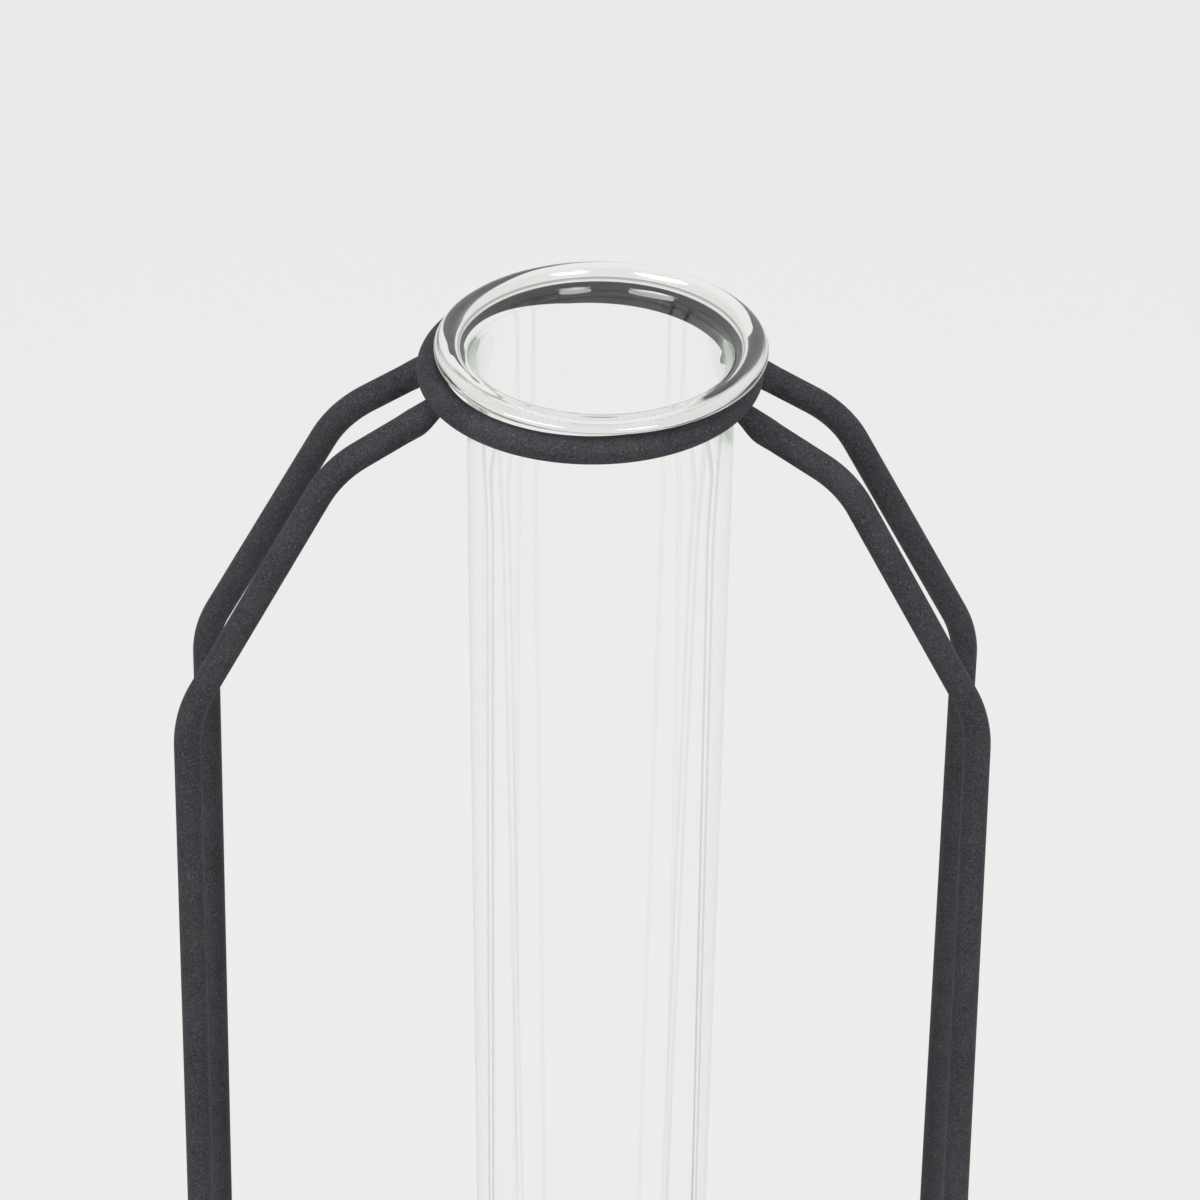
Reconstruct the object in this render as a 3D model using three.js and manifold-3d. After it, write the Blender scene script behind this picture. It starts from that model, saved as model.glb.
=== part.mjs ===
// A test-tube vase: a clear glass tube with a rolled lip hangs in a ring of coated wire. Two bent
// wire loops carry the ring, one in front and one behind, and their arms are welded to it.
// Millimetres, +Z up, +X to the right, -Y to the front. The origin is on the table, under the ring.
import * as THREE from "three";
import { mergeVertices } from "three/addons/utils/BufferGeometryUtils.js";
import Module from "manifold-3d";

const wasm = await Module();
wasm.setup();

// The gap that pieces keep where the real ones touch or are welded.
const seatGap = 0.3;

// Glass tube
const tubeLength = 200;
const tubeDiameter = 30;
const tubeWall = 1.6;
const underTube = 14; // from the table up to the tube's round end
const lipReach = 3.57; // from the tube's side out to the lip's edge
const lipThickness = 1.85; // from the lip's underside up to its crest
const lipCrown = 1.6; // from the lip's edge in to its crest
const edgeRise = 0.65; // from the lip's underside up to its outermost line
const flareDepth = 2.7; // from the crest down to where the bore starts to open out
const hangTurn = -4; // degrees round from +X to where the tube hangs against the ring

// Neck ring
const ringWire = 3.05; // diameter with its coating
const tubePlay = 1.225; // gap all round the tube if it hung in the middle of the ring

// Wire loops
const legWire = 3.15; // diameter with its coating
const meetY = 4.77; // from the middle to each loop's plane at the ring's height
const footY = 24.1; // half the distance between the two foot rails
const armInset = 1.24; // an arm's centre line ends this far inside the ring's
const elbowBend = 14.7; // bend radii, to the centre of the wire
const shoulderBend = 15.5;
const footBend = 11;

// The corners of each quarter of the frame, bent by hand and not quite alike. A corner is its distance
// from the middle and its drop below the ring; the arm is only the drop of its end at the ring.
const frontRight = { arm: 2.7, elbow: [28.6, 11.5], shoulder: [45.2, 42.1], foot: 48.4 };
const frontLeft = { arm: 1.9, elbow: [28.6, 10.2], shoulder: [46.3, 41.8], foot: 50.2 };
const backRight = { arm: 1.6, elbow: [28.7, 9.6], shoulder: [45.3, 41.5], foot: 50.5 };
const backLeft = { arm: 1.6, elbow: [28.5, 9.5], shoulder: [45.5, 41.4], foot: 52.3 };

// Welded necks between the arms and the ring
const weldLength = 4.4; // along the arm, from its inner end to where the full wire starts
const weldTip = 2.3; // diameter where the neck reaches the ring

// Smoothness
const wireSides = 16;
const bendSteps = 9;
const ringSteps = 72;
const tubeSides = 56;
const arcSteps = 9;

const coatedWire = new THREE.MeshStandardMaterial({ color: 0x2b2c2e, roughness: 0.85, metalness: 0 });
const coatedWeld = new THREE.MeshStandardMaterial({ color: 0x292a2c, roughness: 0.9, metalness: 0 });
const clearGlass = new THREE.MeshStandardMaterial({ color: 0xeef3f0, roughness: 0.02, metalness: 0 });
clearGlass.transparent = true;
clearGlass.opacity = 0.3;

// The ring goes round the tube with its play. The lip's fillet goes round the ring's wire, so the
// lip hangs on the ring by its underside, and the ring is as high as the tube needs.
const ringRadius = tubeDiameter / 2 + tubePlay + ringWire / 2;
const lipFillet = ringWire / 2 + seatGap;
const lipCrest = lipFillet + lipThickness;
const ringHeight = underTube + tubeLength - lipCrest;

// Joining and cutting
function toSolid(geometry) {
  const bare = geometry.clone();
  bare.deleteAttribute("normal");
  bare.deleteAttribute("uv");
  const merged = mergeVertices(bare, 1e-4);
  const vertProperties = new Float32Array(merged.attributes.position.array);
  const triVerts = new Uint32Array(merged.index.array);
  return new wasm.Manifold(new wasm.Mesh({ numProp: 3, vertProperties, triVerts }));
}

function toGeometry(solid) {
  const { vertProperties, triVerts } = solid.getMesh();
  const geometry = new THREE.BufferGeometry();
  geometry.setAttribute("position", new THREE.BufferAttribute(new Float32Array(vertProperties), 3));
  geometry.setIndex(new THREE.BufferAttribute(new Uint32Array(triVerts), 1));
  geometry.computeVertexNormals();
  return geometry;
}

function direction(from, to) {
  return new THREE.Vector3().subVectors(to, from).normalize();
}

// A wire's centre line: straight runs between corners, each corner rounded to its bend radius.
// Its stations stand close together only where the wire bends.
class BentWire extends THREE.Curve {
  constructor(corners, bendRadii) {
    super();
    const last = corners.length - 1;
    this.stations = [{ point: corners[0], tangent: direction(corners[0], corners[1]) }];
    for (let i = 1; i < last; i++) {
      this.addBend(corners[i - 1], corners[i], corners[i + 1], bendRadii[i - 1]);
    }
    this.stations.push({ point: corners[last], tangent: direction(corners[last - 1], corners[last]) });
    this.steps = this.stations.length - 1;
  }

  addBend(before, corner, after, radius) {
    const inward = direction(before, corner);
    const outward = direction(corner, after);
    const angle = inward.angleTo(outward);
    const axis = new THREE.Vector3().crossVectors(inward, outward).normalize();
    const toCentre = new THREE.Vector3().crossVectors(axis, inward);
    const start = corner.clone().addScaledVector(inward, -radius * Math.tan(angle / 2));
    const centre = start.clone().addScaledVector(toCentre, radius);
    for (let k = 0; k <= bendSteps; k++) {
      const turned = (angle * k) / bendSteps;
      const spoke = toCentre.clone().multiplyScalar(-radius).applyAxisAngle(axis, turned);
      const tangent = inward.clone().applyAxisAngle(axis, turned);
      this.stations.push({ point: centre.clone().add(spoke), tangent });
    }
  }

  getPointAt(u, target = new THREE.Vector3()) {
    return target.copy(this.stations[Math.round(u * this.steps)].point);
  }

  getTangentAt(u, target = new THREE.Vector3()) {
    return target.copy(this.stations[Math.round(u * this.steps)].tangent);
  }
}

// The wire's round section as a regular polygon with one flat side turned by this angle.
function wireSection(diameter, turn) {
  const outline = [];
  for (let i = 0; i < wireSides; i++) {
    const angle = turn + ((i + 0.5) * 2 * Math.PI) / wireSides;
    outline.push(new THREE.Vector2(Math.cos(angle), Math.sin(angle)).multiplyScalar(diameter / 2));
  }
  return new THREE.Shape(outline);
}

// Neck ring
function ringGeometry(wire) {
  return new THREE.TorusGeometry(ringRadius, wire / 2, wireSides, ringSteps);
}

function neckRing() {
  const ring = new THREE.Mesh(ringGeometry(ringWire), coatedWire);
  ring.name = "neck_ring";
  ring.position.z = ringHeight;
  return ring;
}

// A point this far from the ring's axis, turned round it from +X.
function roundRing(distance, degrees) {
  const angle = THREE.MathUtils.degToRad(degrees);
  return new THREE.Vector3(Math.cos(angle), Math.sin(angle), 0).multiplyScalar(distance);
}

// Wire loops. Each is bent flat and leans in towards the ring, so heights along it are drawn out.
const railHeight = (legWire / 2) * Math.cos(Math.PI / wireSides);
const lean = Math.atan2(footY - meetY, ringHeight - railHeight);

// A point in the loop's own flat plane, where the foot rail lies along X.
function onLoop(x, drop) {
  return new THREE.Vector3(x, 0, (ringHeight - drop - railHeight) / Math.cos(lean));
}

// One side of a loop: the arm's end at the ring, where its full wire starts, and its corners.
function loopSide(quarter, side) {
  const away = meetY + quarter.arm * Math.tan(lean);
  const reach = Math.sqrt((ringRadius - armInset) ** 2 - away ** 2);
  const tip = onLoop(side * reach, quarter.arm);
  const elbow = onLoop(side * quarter.elbow[0], quarter.elbow[1]);
  const shoulder = onLoop(side * quarter.shoulder[0], quarter.shoulder[1]);
  const foot = new THREE.Vector3(side * quarter.foot, 0, 0);
  const root = tip.clone().addScaledVector(direction(tip, elbow), weldLength);
  return { tip, root, corners: [root, elbow, shoulder, foot] };
}

function wireLoop(name, rightSide, leftSide) {
  const bends = [elbowBend, shoulderBend, footBend];
  const corners = [...rightSide.corners, ...leftSide.corners.toReversed()];
  const path = new BentWire(corners, [...bends, ...bends.toReversed()]);
  const section = wireSection(legWire, -lean);
  const geometry = new THREE.ExtrudeGeometry(section, { steps: path.steps, extrudePath: path });
  const loop = new THREE.Mesh(geometry, coatedWire);
  loop.name = name;
  return loop;
}

// A welded neck narrows from the arm's end to the ring and is straight along its top. The neck
// stands beside the arm's end in the loop's plane, and the ring and the tube's way are cut from it.
function weldNeck(name, { tip, root }, side, loopFrame) {
  const along = direction(tip, root);
  const across = new THREE.Vector3(0, side, 0);
  const upward = new THREE.Vector3().crossVectors(along, across);
  const length = weldLength - seatGap;
  const neck = new THREE.CylinderGeometry(legWire / 2, weldTip / 2, length, wireSides);
  neck.translate(0, length / 2, 0);
  const position = neck.attributes.position;
  for (let i = 0; i < position.count; i++) {
    const lift = ((legWire - weldTip) / 2) * (1 - position.getY(i) / length);
    position.setZ(i, position.getZ(i) + lift);
  }
  const sideways = new THREE.Vector3().crossVectors(along, upward);
  neck.applyMatrix4(new THREE.Matrix4().makeBasis(sideways, along, upward).setPosition(tip));

  const toLoop = loopFrame.clone().invert();
  const ringCut = ringGeometry(ringWire + 2 * seatGap).translate(0, 0, ringHeight).applyMatrix4(toLoop);
  const way = new THREE.CylinderGeometry(ringRadius, ringRadius, 4 * ringWire, ringSteps);
  const wayCut = way.rotateX(Math.PI / 2).translate(0, 0, ringHeight).applyMatrix4(toLoop);
  const cut = toSolid(neck).subtract(toSolid(ringCut)).subtract(toSolid(wayCut));
  const weld = new THREE.Mesh(toGeometry(cut), coatedWeld);
  weld.name = name;
  return weld;
}

// One side of the frame: a loop, leaning, and its two welded necks. The back one is turned half
// round, so the end of it that lies at +X before the turn is the left one.
function frameSide(word, halfTurns, endWords, quarters) {
  const side = new THREE.Group();
  const leaning = new THREE.Group();
  leaning.position.set(0, -footY, railHeight);
  leaning.rotation.x = -lean;
  side.rotation.z = halfTurns * Math.PI;
  side.add(leaning);
  side.updateMatrixWorld(true);
  const ends = [loopSide(quarters[0], 1), loopSide(quarters[1], -1)];
  leaning.add(wireLoop(`${word}_loop`, ends[0], ends[1]));
  leaning.add(weldNeck(`${word}_${endWords[0]}_weld`, ends[0], 1, leaning.matrixWorld));
  leaning.add(weldNeck(`${word}_${endWords[1]}_weld`, ends[1], -1, leaning.matrixWorld));
  return side;
}

// Glass tube: one wall of glass from the round bottom up to the rolled lip and back down the bore.
function arc(centreX, centreY, radiusX, radiusY, from, to) {
  const curve = new THREE.EllipseCurve(centreX, centreY, radiusX, radiusY, from, to, to < from);
  return curve.getPoints(arcSteps);
}

function glassTube() {
  const outside = tubeDiameter / 2;
  const bore = outside - tubeWall;
  const lipEdge = outside + lipReach;
  const crown = lipEdge - lipCrown;
  const filletEnd = outside + lipFillet;
  const edgeHeight = lipFillet + edgeRise;
  const endCentre = lipCrest - tubeLength + outside;
  const right = 0;
  const up = Math.PI / 2;
  const left = Math.PI;
  const profile = [
    ...arc(0, endCentre, outside, outside, -up, right),
    ...arc(filletEnd, 0, lipFillet, lipFillet, left, up),
    ...arc(filletEnd, edgeHeight, lipEdge - filletEnd, edgeRise, -up, right).slice(1),
    ...arc(crown, edgeHeight, lipCrown, lipCrest - edgeHeight, right, up).slice(1),
    ...arc(crown, lipCrest - flareDepth, crown - bore, flareDepth, up, left).slice(1),
    ...arc(0, endCentre, bore, bore, right, -up),
  ];
  profile[0].x = 0;
  profile[profile.length - 1].x = 0;
  const geometry = new THREE.LatheGeometry(profile, tubeSides).rotateX(Math.PI / 2);
  const tube = new THREE.Mesh(geometry, clearGlass);
  tube.name = "glass_tube";
  tube.position.copy(roundRing(tubePlay - seatGap, hangTurn)).setZ(ringHeight);
  return tube;
}

const vase = new THREE.Group();
vase.add(neckRing());
vase.add(frameSide("front", 0, ["right", "left"], [frontRight, frontLeft]));
vase.add(frameSide("back", 1, ["left", "right"], [backLeft, backRight]));
vase.add(glassTube());

export default vase;
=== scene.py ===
from math import atan2, cos, pi, radians, sin, sqrt, tan

import bpy
from mathutils import Matrix, Vector


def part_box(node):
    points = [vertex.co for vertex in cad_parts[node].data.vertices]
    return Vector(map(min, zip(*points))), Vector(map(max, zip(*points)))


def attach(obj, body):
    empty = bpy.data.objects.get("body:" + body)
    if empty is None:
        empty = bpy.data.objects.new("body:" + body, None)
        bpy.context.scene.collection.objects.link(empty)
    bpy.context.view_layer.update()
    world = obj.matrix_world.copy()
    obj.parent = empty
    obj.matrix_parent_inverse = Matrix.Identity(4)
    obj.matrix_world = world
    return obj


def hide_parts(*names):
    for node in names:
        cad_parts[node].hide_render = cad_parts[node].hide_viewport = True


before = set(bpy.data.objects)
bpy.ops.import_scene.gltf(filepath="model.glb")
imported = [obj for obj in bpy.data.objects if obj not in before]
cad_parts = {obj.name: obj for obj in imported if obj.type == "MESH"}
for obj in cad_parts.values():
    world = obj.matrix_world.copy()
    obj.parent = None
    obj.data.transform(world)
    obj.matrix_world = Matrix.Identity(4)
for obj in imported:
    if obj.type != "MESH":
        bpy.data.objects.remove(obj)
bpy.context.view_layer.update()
mm = 0.001
mergeWithin = 0.002 * mm   # points that lie closer are one
white = (1, 1, 1, 1)
upright = (0, 0, 1)


# small helpers

def clearSelection():
    if bpy.context.object and bpy.context.object.mode == "EDIT":
        bpy.ops.object.mode_set(mode="OBJECT")
    bpy.ops.object.select_all(action="DESELECT")


def pickOnly(piece):
    clearSelection()
    piece.select_set(True)
    bpy.context.view_layer.objects.active = piece


def startEdit():
    bpy.ops.object.mode_set(mode="EDIT")
    bpy.ops.mesh.select_mode(type="VERT")
    bpy.ops.mesh.select_all(action="SELECT")


def closeEdit():
    bpy.ops.mesh.select_all(action="SELECT")
    bpy.ops.mesh.remove_doubles(threshold=mergeWithin)
    bpy.ops.mesh.normals_make_consistent(inside=False)
    bpy.ops.object.mode_set(mode="OBJECT")


def extrudeBy(move):
    bpy.ops.mesh.extrude_region_move(TRANSFORM_OT_translate={"value": move})


def spinAround(centre, axis, angle, steps):
    bpy.ops.mesh.spin(steps=steps, angle=angle, center=centre, axis=axis)


def applyModifiers(piece):
    pickOnly(piece)
    for modifier in list(piece.modifiers):
        bpy.ops.object.modifier_apply(modifier=modifier.name)


def finishPiece(piece, name, material, body, cadNodes):
    piece.name = name
    pickOnly(piece)
    bpy.ops.object.transform_apply(location=True, rotation=True, scale=True)
    bpy.ops.object.shade_smooth()
    piece.data.materials.clear()
    piece.data.materials.append(material)
    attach(piece, body)
    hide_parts(*cadNodes)
    print("made", name, len(piece.data.polygons), "faces")


# node helpers, where the owner is a material or the world

def newMaterial(name):
    material = bpy.data.materials.new(name)
    material.use_nodes = True
    material.node_tree.nodes.clear()
    output = addNode(material, "ShaderNodeOutputMaterial")
    shader = addNode(material, "ShaderNodeBsdfPrincipled")
    wire(material, shader.outputs["BSDF"], output.inputs["Surface"])
    return material, shader, output


def addNode(owner, kind, **values):
    node = owner.node_tree.nodes.new(kind)
    for key, value in values.items():
        if key in node.inputs:
            node.inputs[key].default_value = value
        else:
            setattr(node, key, value)
    return node


def wire(owner, start, end):
    owner.node_tree.links.new(start, end)


def calculate(owner, operation, first, second):
    sums = addNode(owner, "ShaderNodeMath", operation=operation)
    for socket, value in zip(sums.inputs, (first, second)):
        if isinstance(value, float):
            socket.default_value = value
        else:
            wire(owner, value, socket)
    return sums.outputs[0]


def fromTo(material, source, fromRange, toRange=(0.0, 1.0)):
    spread = addNode(material, "ShaderNodeMapRange")
    spread.inputs["From Min"].default_value, spread.inputs["From Max"].default_value = fromRange
    spread.inputs["To Min"].default_value, spread.inputs["To Max"].default_value = toRange
    wire(material, source, spread.inputs["Value"])
    return spread.outputs["Result"]


def mixColours(material, share, first, second):
    # of this node's many sockets, 6 and 7 take the colours and 2 gives the mix
    mix = addNode(material, "ShaderNodeMix", data_type="RGBA")
    wire(material, share, mix.inputs[0])
    for socket, colour in ((mix.inputs[6], first), (mix.inputs[7], second)):
        if isinstance(colour, tuple):
            socket.default_value = colour
        else:
            wire(material, colour, socket)
    return mix.outputs[2]


def noiseAt(material, spot, kind):
    noise = addNode(material, "ShaderNodeTexNoise", Scale=1 / kind["size"])
    noise.inputs["Detail"].default_value = kind["detail"]
    noise.inputs["Roughness"].default_value = kind["roughness"]
    wire(material, spot, noise.inputs["Vector"])
    return noise.outputs["Fac"]


def bumpFrom(material, height, strength, depth):
    bump = addNode(material, "ShaderNodeBump", Strength=strength, Distance=depth)
    wire(material, height, bump.inputs["Height"])
    return bump


# matt black powder coat with a fine sandy grain

coat = {
    "dark": (0.0080, 0.0080, 0.0115, 1),
    "light": (0.045, 0.0455, 0.053, 1),
    "dusty": (0.072, 0.066, 0.052, 1),
    # colour of the painted glints, single grains painted lighter as if they catch the light
    "paintedGlint": (0.090, 0.092, 0.099, 1),
    "grain": {"size": 0.26 * mm, "detail": 3.0, "roughness": 0.75},
    "grainRange": (0.34, 0.66),
    "grainShare": 0.76,
    "clouds": {"size": 6 * mm, "detail": 5.0, "roughness": 0.62},
    "cloudRange": (0.34, 0.68),
    "cloudShare": 0.26,
    "dust": {"size": 3.2 * mm, "detail": 7.0, "roughness": 0.7},
    "dustRange": (0.52, 0.78),
    "ringDust": 0.55,                # it has settled on the ring most
    "wireDust": 0.30,
    "weldDust": 0.30,
    "paintedGlintSize": 0.13 * mm,
    "paintedGlintRange": (0.82, 1.0),       # fewer than a fifth of the grains show
    "paintedGlintShare": 0.6,
    "grainBump": (0.9, 0.045 * mm),  # strength and depth
    "peel": {"size": 1.04 * mm, "detail": 2.0, "roughness": 0.5},
    "peelBump": (0.6, 0.03 * mm),
    "dullRange": (0.3, 0.8),
    "roughness": (0.62, 0.84),       # clean, and where dust lies
    "gloss": 0.22,
}


def coatMaterial(name, dustShare):
    material, shader = newMaterial(name)[:2]
    spot = addNode(material, "ShaderNodeTexCoord").outputs["Object"]

    # sandy grain of light and dark, in slow clouds
    grain = noiseAt(material, spot, coat["grain"])
    clouds = noiseAt(material, spot, coat["clouds"])
    grainTone = fromTo(material, grain, coat["grainRange"], (0.0, coat["grainShare"]))
    cloudTone = fromTo(material, clouds, coat["cloudRange"], (0.0, coat["cloudShare"]))
    tone = calculate(material, "ADD", grainTone, cloudTone)
    base = mixColours(material, tone, coat["dark"], coat["light"])

    # faint brown dust that lies in patches
    dust = noiseAt(material, spot, coat["dust"])
    patches = fromTo(material, dust, coat["dustRange"], (0.0, dustShare))
    dusty = mixColours(material, patches, base, coat["dusty"])

    # painted glints: single grains painted lighter, as if they catch the light
    cells = addNode(material, "ShaderNodeTexVoronoi", Scale=1 / coat["paintedGlintSize"])
    chance = addNode(material, "ShaderNodeSeparateColor")
    wire(material, spot, cells.inputs["Vector"])
    wire(material, cells.outputs["Color"], chance.inputs["Color"])
    paintedGlints = fromTo(material, chance.outputs["Red"], coat["paintedGlintRange"], (0.0, coat["paintedGlintShare"]))
    withPaintedGlints = mixColours(material, paintedGlints, dusty, coat["paintedGlint"])
    wire(material, withPaintedGlints, shader.inputs["Base Color"])

    # the grain stands up a little, over a soft orange peel
    peelBump = bumpFrom(material, noiseAt(material, spot, coat["peel"]), *coat["peelBump"])
    grainBump = bumpFrom(material, grain, *coat["grainBump"])
    wire(material, peelBump.outputs["Normal"], grainBump.inputs["Normal"])
    wire(material, grainBump.outputs["Normal"], shader.inputs["Normal"])

    # duller where dust lies
    dull = fromTo(material, dust, coat["dullRange"], coat["roughness"])
    wire(material, dull, shader.inputs["Roughness"])
    shader.inputs["Specular IOR Level"].default_value = coat["gloss"]
    return material


# clear glass, faintly green where it is seen edge on

glass = {
    "ior": 1.50,
    "tint": (0.90, 0.965, 0.925, 1),
    "tintDensity": 28.0,
    "paintedGlow": (0.20, 0.225, 0.195, 1),    # painted glow, a little green, in place of light led along the wall
    "paintedGlowAfter": 3.5,                   # reflections in the wall, past which a ray would end black and the painted glow shows instead
    "streaks": {"size": 2.2 * mm, "detail": 2.0, "roughness": 0.4},
    "streakStretch": (1, 1, 0.02),       # drawn glass has its streaks lengthwise
    "streakStrength": 0.35,
    "streakDepth": 0.010 * mm,
    "streakFade": (200 * mm, 207 * mm),  # none on the lip, which is fire polished
}


def glassMaterial(name):
    material, shader, output = newMaterial(name)
    shader.inputs["Base Color"].default_value = white
    shader.inputs["Roughness"].default_value = 0
    shader.inputs["IOR"].default_value = glass["ior"]
    shader.inputs["Transmission Weight"].default_value = 1
    body = addNode(material, "ShaderNodeVolumeAbsorption", Color=glass["tint"])
    body.inputs["Density"].default_value = glass["tintDensity"]
    wire(material, body.outputs["Volume"], output.inputs["Volume"])

    # faint streaks that stand up a little
    spot = addNode(material, "ShaderNodeTexCoord").outputs["Object"]
    stretch = addNode(material, "ShaderNodeMapping", Scale=glass["streakStretch"])
    height = addNode(material, "ShaderNodeSeparateXYZ")
    wire(material, spot, stretch.inputs["Vector"])
    wire(material, spot, height.inputs["Vector"])
    streaks = noiseAt(material, stretch.outputs["Vector"], glass["streaks"])
    strength = glass["streakStrength"]
    bump = bumpFrom(material, streaks, strength, glass["streakDepth"])
    fade = fromTo(material, height.outputs["Z"], glass["streakFade"], (strength, 0.0))
    wire(material, fade, bump.inputs["Strength"])
    wire(material, bump.outputs["Normal"], shader.inputs["Normal"])

    # painted glow in place of black where a ray ends, standing in for light that the wall pipes
    # along
    rays = addNode(material, "ShaderNodeLightPath")
    mirrored = addNode(material, "ShaderNodeFresnel", IOR=glass["ior"])
    paintedGlowMask = calculate(material, "GREATER_THAN", rays.outputs["Glossy Depth"], glass["paintedGlowAfter"])
    share = calculate(material, "MULTIPLY", paintedGlowMask, mirrored.outputs[0])
    wire(material, share, shader.inputs["Emission Strength"])
    shader.inputs["Emission Color"].default_value = glass["paintedGlow"]
    material.cycles.emission_sampling = "NONE"  # it is no lamp
    return material


ringCoat = coatMaterial("ring coat", coat["ringDust"])
wireCoat = coatMaterial("wire coat", coat["wireDust"])
weldCoat = coatMaterial("weld coat", coat["weldDust"])
clearGlass = glassMaterial("clear glass")
print("materials ready")


# neck ring: one round of wire, spun about the middle

ringLow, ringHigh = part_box("neck_ring")
ring = {
    "wire": ringHigh.z - ringLow.z,
    "height": (ringHigh.z + ringLow.z) / 2,
    "sides": 40,
    "steps": 160,
}
ring["radius"] = (ringHigh.x - ringLow.x - ring["wire"]) / 2
ring["middle"] = Vector((0, 0, ring["height"]))


def startWire(point, heading, radius, sides):
    # the round section of a wire, square to the way it heads
    clearSelection()
    turn = heading.to_track_quat("Z", "Y").to_euler()
    bpy.ops.mesh.primitive_circle_add(vertices=sides, radius=radius, location=point, rotation=turn)
    piece = bpy.context.object
    bpy.ops.object.transform_apply(location=True, rotation=True, scale=True)
    startEdit()
    return piece


def makeRing():
    start = ring["middle"] + Vector((ring["radius"], 0, 0))
    piece = startWire(start, Vector((0, -1, 0)), ring["wire"] / 2, ring["sides"])
    spinAround(ring["middle"], upright, 2 * pi, ring["steps"])
    closeEdit()
    finishPiece(piece, "neck_ring_wire", ringCoat, "frame", ["neck_ring"])


makeRing()


# wire loops: each one bent in its own flat plane, which leans in to the ring

loop = {
    "wire": 3.15 * mm,
    "meetY": 4.77 * mm,      # from the middle to the loop's plane at the ring's height
    "footY": 24.06 * mm,
    "armInset": 1.24 * mm,   # how far inside the middle of the ring's wire an arm's line ends
    "weldLength": 4.4 * mm,  # of the neck between the ring and the arm's full wire
    "bends": [14.7 * mm, 15.5 * mm, 11 * mm],  # radii at the elbow, the shoulder and the foot
    "sides": 32,
    "bendSteps": 14,
}
# corners of each quarter in mm: how far out from the middle, and how far below the ring
corners = {
    "front right": {"arm": 2.7, "elbow": (28.6, 11.5), "shoulder": (45.2, 42.1), "foot": 48.4},
    "front left": {"arm": 1.9, "elbow": (28.6, 10.2), "shoulder": (46.3, 41.8), "foot": 50.2},
    "back right": {"arm": 1.6, "elbow": (28.7, 9.6), "shoulder": (45.3, 41.5), "foot": 50.49},
    "back left": {"arm": 1.6, "elbow": (28.5, 9.5), "shoulder": (45.5, 41.4), "foot": 52.29},
}
railHeight = loop["wire"] / 2
lean = atan2(loop["footY"] - loop["meetY"], ring["height"] - railHeight)


def onLoop(x, drop, half):
    # half is 1 in front and -1 behind
    y = loop["meetY"] + drop * tan(lean)
    return Vector((x, -half * y, ring["height"] - drop))


def quarter(half, side):
    # the points of one side of a loop, from the arm's inner end down to the foot
    spots = corners[("front " if half > 0 else "back ") + ("right" if side > 0 else "left")]
    armDrop = spots["arm"] * mm
    away = loop["meetY"] + armDrop * tan(lean)
    reach = sqrt((ring["radius"] - loop["armInset"]) ** 2 - away ** 2)
    inner = onLoop(side * reach, armDrop, half)
    elbow, shoulder = [
        onLoop(side * out * mm, drop * mm, half)
        for out, drop in (spots["elbow"], spots["shoulder"])
    ]
    foot = onLoop(side * spots["foot"] * mm, ring["height"] - railHeight, half)
    return inner, elbow, shoulder, foot


def armLine(half, side):
    inner, elbow = quarter(half, side)[:2]
    return inner, (elbow - inner).normalized()


def bendAt(corner, before, after, radius):
    # where the wire starts to bend, and what it bends round
    inward = (corner - before).normalized()
    outward = (after - corner).normalized()
    angle = inward.angle(outward)
    axis = inward.cross(outward).normalized()
    start = corner - inward * radius * tan(angle / 2)
    centre = start + axis.cross(inward) * radius
    return start, centre, axis, angle


def makeLoop(half, name, cadNode):
    firstEnd, outward = armLine(half, 1)
    lastEnd, inward = armLine(half, -1)
    begin = firstEnd + outward * loop["weldLength"]
    finish = lastEnd + inward * loop["weldLength"]
    path = [begin, *quarter(half, 1)[1:], *quarter(half, -1)[:0:-1], finish]
    bends = loop["bends"] + loop["bends"][::-1]
    piece = startWire(begin, outward, loop["wire"] / 2, loop["sides"])
    bpy.ops.mesh.edge_face_add()
    here = begin
    for before, corner, after, radius in zip(path, path[1:], path[2:], bends):
        start, centre, axis, angle = bendAt(corner, before, after, radius)
        extrudeBy(start - here)
        spinAround(centre, axis, -angle, loop["bendSteps"])  # spin turns clockwise
        here = centre + Matrix.Rotation(angle, 3, axis) @ (start - centre)
    extrudeBy(finish - here)
    closeEdit()
    finishPiece(piece, name, wireCoat, "frame", [cadNode])


makeLoop(1, "front_wire_loop", "front_loop")
makeLoop(-1, "back_wire_loop", "back_loop")


# welded necks: a tapered stub grown together with a short stretch of the ring

weld = {
    "tip": 2.3 * mm,            # across the neck at the ring
    "steps": 8,
    "overlap": 2.4 * mm,        # how far the neck runs over the arm's full wire
    "swell": 0.09 * mm,         # so much thicker than the wire there, so that no edge shows
    "ringStretch": radians(22),
    "ringSteps": 16,
    "voxel": 0.13 * mm,
    "softness": 0.5,
    "smoothing": 14,
    "inset": 0.02 * mm,
}


def makeNeck(half, side):
    inner, outward = armLine(half, side)
    planeNormal = Vector((0, half * cos(lean), -sin(lean)))
    upward = outward.cross(planeNormal)
    upward = upward if upward.z > 0 else -upward
    wireRadius, tipRadius = loop["wire"] / 2, weld["tip"] / 2
    fullRadius = wireRadius + weld["swell"]
    length = loop["weldLength"]
    joint = inner + outward * length

    neck = startWire(joint + outward * weld["overlap"], -outward, wireRadius, loop["sides"])
    bpy.ops.mesh.edge_face_add()
    extrudeBy(-outward * weld["overlap"])
    bpy.ops.transform.resize(value=(fullRadius / wireRadius,) * 3, center_override=joint)
    radius = fullRadius
    for k in range(1, weld["steps"] + 1):
        # its upper line stays straight while it tapers
        share = k / weld["steps"]
        eased = share * share * (3 - 2 * share)
        newRadius = fullRadius + (tipRadius - fullRadius) * eased
        extrudeBy(upward * (radius - newRadius) - outward * length / weld["steps"])
        middle = joint - outward * length * share + upward * (fullRadius - newRadius)
        bpy.ops.transform.resize(value=(newRadius / radius,) * 3, center_override=middle)
        radius = newRadius
    bpy.ops.object.mode_set(mode="OBJECT")
    return neck


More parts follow.
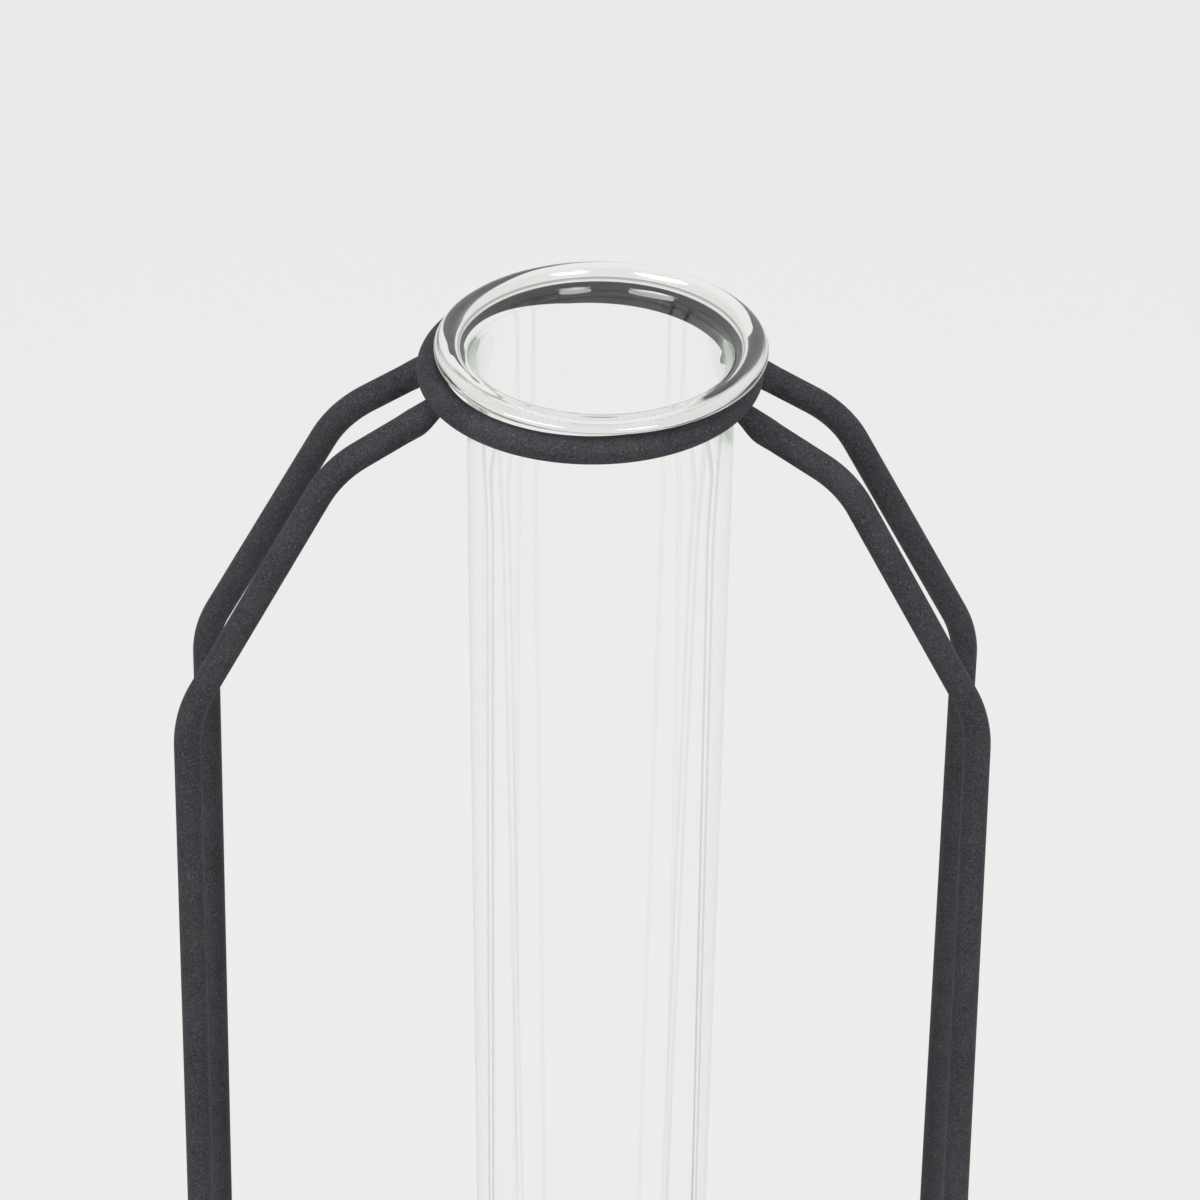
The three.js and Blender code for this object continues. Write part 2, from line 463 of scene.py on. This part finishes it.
def makeSaddle(half, side):
    # the stretch of ring that the neck grows from
    inner = armLine(half, side)[0]
    stretch = weld["ringStretch"]
    turn = Matrix.Rotation(atan2(inner.y, inner.x) - stretch / 2, 3, "Z")
    start = ring["middle"] + turn @ Vector((ring["radius"], 0, 0))
    startWire(start, turn @ Vector((0, 1, 0)), ring["wire"] / 2, ring["sides"])
    bpy.ops.mesh.edge_face_add()
    spinAround(ring["middle"], upright, -stretch, weld["ringSteps"])
    closeEdit()


def makeWeld(half, side, name, cadNode):
    piece = makeNeck(half, side)
    makeSaddle(half, side)  # it stays selected for the join
    piece.select_set(True)
    bpy.context.view_layer.objects.active = piece
    bpy.ops.object.join()
    startEdit()
    bpy.ops.mesh.normals_make_consistent(inside=False)
    bpy.ops.object.mode_set(mode="OBJECT")

    grown = piece.modifiers.new("grow together", "REMESH")
    grown.mode = "VOXEL"
    grown.voxel_size = weld["voxel"]
    soft = piece.modifiers.new("soften", "SMOOTH")
    soft.factor = weld["softness"]
    soft.iterations = weld["smoothing"]
    shrink = piece.modifiers.new("draw in", "DISPLACE")
    shrink.mid_level = 0
    shrink.strength = -weld["inset"]
    applyModifiers(piece)
    finishPiece(piece, name, weldCoat, "frame", [cadNode])


makeWeld(1, 1, "front_right_weld_neck", "front_right_weld")
makeWeld(1, -1, "front_left_weld_neck", "front_left_weld")
makeWeld(-1, 1, "back_right_weld_neck", "back_right_weld")
makeWeld(-1, -1, "back_left_weld_neck", "back_left_weld")


# glass tube: a profile drawn point by point, then spun about the tube's axis

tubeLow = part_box("glass_tube")[0]
tube = {
    "radius": 15 * mm,
    "wall": 1.6 * mm,
    "axis": Vector((1.19 * mm, 0.19 * mm, 0)),  # it leans on the right side of the ring
    # heights from here on are over the middle of the ring's wire
    "thinning": -5.19 * mm,                 # the wall thins from here up
    "neckBore": 13.885 * mm,
    "underside": 1.95 * mm,                 # under the lip, where its edge starts
    "filletTop": 1.965 * mm,
    "fillet": (1.188 * mm, 2.488 * mm),     # from the tube's side to the lip's underside
    "edge": (18.54 * mm, 2.604 * mm),       # the lip's outermost point
    "edgeStart": 16.19 * mm,
    "crest": (17.004 * mm, 3.637 * mm),
    "flareStart": 0.162 * mm,               # where the bore starts to open out
    "filletFullness": 2.635,                # 2 is an ellipse, and more is fuller
    "edgeFullness": (3.328, 1.748),         # below and above the outermost point
    "flareFullness": 1.833,
    "hold": 0.15 * mm,                      # from the end of a straight run to its held point
    "softReach": 4.5 * mm,                  # of the bend where the wall starts to thin
    "softSteps": 10,
    "arcSteps": 24,
    "steps": 192,
}


def arcPoints(centre, radii, fromDegrees, toDegrees, fullness=2):
    points = []
    for k in range(tube["arcSteps"] + 1):
        angle = radians(fromDegrees + (toDegrees - fromDegrees) * k / tube["arcSteps"])
        along, up = cos(angle), sin(angle)
        x = abs(along) ** (2 / fullness) * (1 if along > 0 else -1)
        z = abs(up) ** (2 / fullness) * (1 if up > 0 else -1)
        points.append((centre[0] + radii[0] * x, centre[1] + radii[1] * z))
    return points


def heldRun(start, end):
    # a straight run with a point close to each end, so that it is shaded straight
    first, last = Vector(start), Vector(end)
    step = (last - first).normalized() * tube["hold"]
    return [first + step, last - step]


def softCorner(before, corner, after):
    # a long gentle bend in place of a corner
    middle = Vector(corner)
    start = middle + (Vector(before) - middle).normalized() * tube["softReach"]
    end = middle + (Vector(after) - middle).normalized() * tube["softReach"]
    shares = [k / tube["softSteps"] for k in range(tube["softSteps"] + 1)]
    return [start * (1 - t) ** 2 + middle * 2 * t * (1 - t) + end * t ** 2 for t in shares]


def tubeProfile():
    outside, bore = tube["radius"], tube["radius"] - tube["wall"]
    endCentre = tubeLow.z - ring["height"] + outside
    filletOut, filletUp = tube["fillet"]
    filletStart = tube["filletTop"] - filletUp
    edge, edgeHeight = tube["edge"]
    crest, crestHeight = tube["crest"]
    edgeStart, flareStart, neckBore = tube["edgeStart"], tube["flareStart"], tube["neckBore"]
    below, above = tube["edgeFullness"]
    neck, thinned, boreEnd = (neckBore, flareStart), (bore, tube["thinning"]), (bore, endCentre)

    roundEnd = arcPoints((0, endCentre), (outside, outside), -90, 0)
    side = heldRun((outside, endCentre), (outside, filletStart))
    fillet = arcPoints(
        (outside + filletOut, filletStart), tube["fillet"], 180, 90, tube["filletFullness"]
    )
    edgeBelow = arcPoints(
        (edgeStart, edgeHeight), (edge - edgeStart, edgeHeight - tube["underside"]), -90, 0, below
    )
    edgeAbove = arcPoints(
        (crest, edgeHeight), (edge - crest, crestHeight - edgeHeight), 0, 90, above
    )
    flare = arcPoints(
        (crest, flareStart), (crest - neckBore, crestHeight - flareStart), 90, 180,
        tube["flareFullness"],
    )
    boreTop = [heldRun(neck, thinned)[0], *softCorner(neck, thinned, boreEnd)]
    boreRound = [heldRun(thinned, boreEnd)[1], *arcPoints((0, endCentre), (bore, bore), 0, -90)]
    shape = [
        *roundEnd, *side, *fillet, *edgeBelow, *edgeAbove[1:], *flare[1:], *boreTop, *boreRound
    ]
    return [(x, ring["height"] + z) for x, z in shape]


def makeTube():
    clearSelection()
    profile = [tube["axis"] + Vector((x, 0, z)) for x, z in tubeProfile()]
    bpy.ops.mesh.primitive_plane_add(size=1 * mm, location=profile[0])
    piece = bpy.context.object
    bpy.ops.object.transform_apply(location=True, rotation=True, scale=True)
    startEdit()
    bpy.ops.mesh.merge(type="CENTER")  # leaves one point to draw from
    for before, after in zip(profile, profile[1:]):
        extrudeBy(after - before)
    bpy.ops.mesh.select_all(action="SELECT")
    spinAround(tube["axis"], upright, 2 * pi, tube["steps"])
    closeEdit()
    finishPiece(piece, "clear_glass_tube", clearGlass, "tube", ["glass_tube"])


makeTube()


# studio: pale floor, white surroundings and soft lamps

studio = {
    "paper": (0.813, 0.810, 0.800, 1),
    "paperRoughness": 0.9,
    "paperGloss": 0.1,
    "paperGlow": 0.87,
    "backdrop": 0.945,  # meets the far floor's tone
    "surround": 0.61,   # what lights matt surfaces from all round
    "floorSize": 6,
    "distance": 1.2,    # from the ring to each lamp
}
# three softboxes light the matt coat, and two strips put the highlights in the glass
# the angles are seen from the ring: 0 is the front, and positive is to the right and up
lamps = {
    "left softbox": {"angles": (-50, 40), "size": (0.55, 0.55), "power": 5.6, "lights": "matt"},
    "top softbox": {"angles": (0, 85), "size": (0.9, 0.9), "power": 9.0, "lights": "matt"},
    "right softbox": {"angles": (60, 35), "size": (0.5, 0.5), "power": 5.0, "lights": "matt"},
    "front right strip": {
        "angles": (23, 23), "size": (0.58, 0.40), "power": 4.9, "lights": "gloss",
    },
    "front left strip": {
        "angles": (-46, 24), "size": (0.88, 0.44), "power": 8.2, "lights": "gloss",
    },
}


def seenAsPaper(owner):
    # 1 for what the camera, a reflection or the glass sees, and 0 for light on matt surfaces
    rays = addNode(owner, "ShaderNodeLightPath").outputs
    straight = calculate(owner, "MAXIMUM", rays["Is Camera Ray"], rays["Is Glossy Ray"])
    return calculate(owner, "MAXIMUM", straight, rays["Is Transmission Ray"])


def mixShaders(owner, share, first, second, output):
    mix = addNode(owner, "ShaderNodeMixShader")
    wire(owner, share, mix.inputs[0])
    wire(owner, first.outputs[0], mix.inputs[1])
    wire(owner, second.outputs[0], mix.inputs[2])
    wire(owner, mix.outputs["Shader"], output.inputs["Surface"])


def makeFloor():
    clearSelection()
    bpy.ops.mesh.primitive_plane_add(size=studio["floorSize"], location=(0, 0, 0))
    floor = bpy.context.object
    floor.name = "pale_floor"
    material, shader, output = newMaterial("pale floor")
    shader.inputs["Base Color"].default_value = studio["paper"]
    shader.inputs["Roughness"].default_value = studio["paperRoughness"]
    shader.inputs["Specular IOR Level"].default_value = studio["paperGloss"]
    glow = addNode(material, "ShaderNodeEmission", Color=studio["paper"])
    share = calculate(material, "MULTIPLY", seenAsPaper(material), studio["paperGlow"])
    mixShaders(material, share, shader, glow, output)
    floor.data.materials.append(material)


def makeWorld():
    world = bpy.data.worlds.new("studio")
    bpy.context.scene.world = world
    world.use_nodes = True
    world.node_tree.nodes.clear()
    output = addNode(world, "ShaderNodeOutputWorld")
    surround = addNode(world, "ShaderNodeBackground", Color=white)
    surround.inputs["Strength"].default_value = studio["surround"]
    backdrop = addNode(world, "ShaderNodeBackground", Color=studio["paper"])
    backdrop.inputs["Strength"].default_value = studio["backdrop"]
    mixShaders(world, seenAsPaper(world), surround, backdrop, output)


def makeLamp(name, angles, size, power, lights):
    azimuth, elevation = (radians(angle) for angle in angles)
    level = cos(elevation)
    away = Vector((sin(azimuth) * level, -cos(azimuth) * level, sin(elevation)))
    clearSelection()
    bpy.ops.object.light_add(type="AREA", location=ring["middle"] + away * studio["distance"])
    lamp = bpy.context.object
    lamp.name = name
    lamp.data.shape = "ELLIPSE"
    lamp.data.size, lamp.data.size_y = size
    lamp.data.energy = power
    lamp.rotation_euler = away.to_track_quat("Z", "Y").to_euler()
    lamp.visible_camera = False
    lamp.visible_diffuse = lights == "matt"
    lamp.visible_glossy = lights == "gloss"
    lamp.visible_transmission = lights == "gloss"


makeFloor()
makeWorld()
for lampName, lampValues in lamps.items():
    makeLamp(lampName, **lampValues)
print("studio ready")


# camera, solved from the photograph's wires and ring

view = {
    "lens": 105.49,
    "sensor": 36,
    "place": (-4.545 * mm, -337.724 * mm, 196.809 * mm),  # from the ring's middle
    "lookDown": 0.593883,
    "turn": -0.017526,
    "roll": 0.011670,
    "clip": (0.01, 20),
}
bpy.ops.object.camera_add()
camera = bpy.context.object
camera.name = "view camera"
camera.data.lens = view["lens"]
camera.data.sensor_width = view["sensor"]
camera.data.clip_start, camera.data.clip_end = view["clip"]
spot = Matrix.Translation(Vector(view["place"]) + ring["middle"])
turned = Matrix.Rotation(view["turn"], 4, "Z") @ Matrix.Rotation(pi / 2 - view["lookDown"], 4, "X")
camera.matrix_world = spot @ turned @ Matrix.Rotation(view["roll"], 4, "Z")
bpy.context.scene.camera = camera
bpy.context.scene.view_settings.view_transform = "Standard"
print("camera ready")
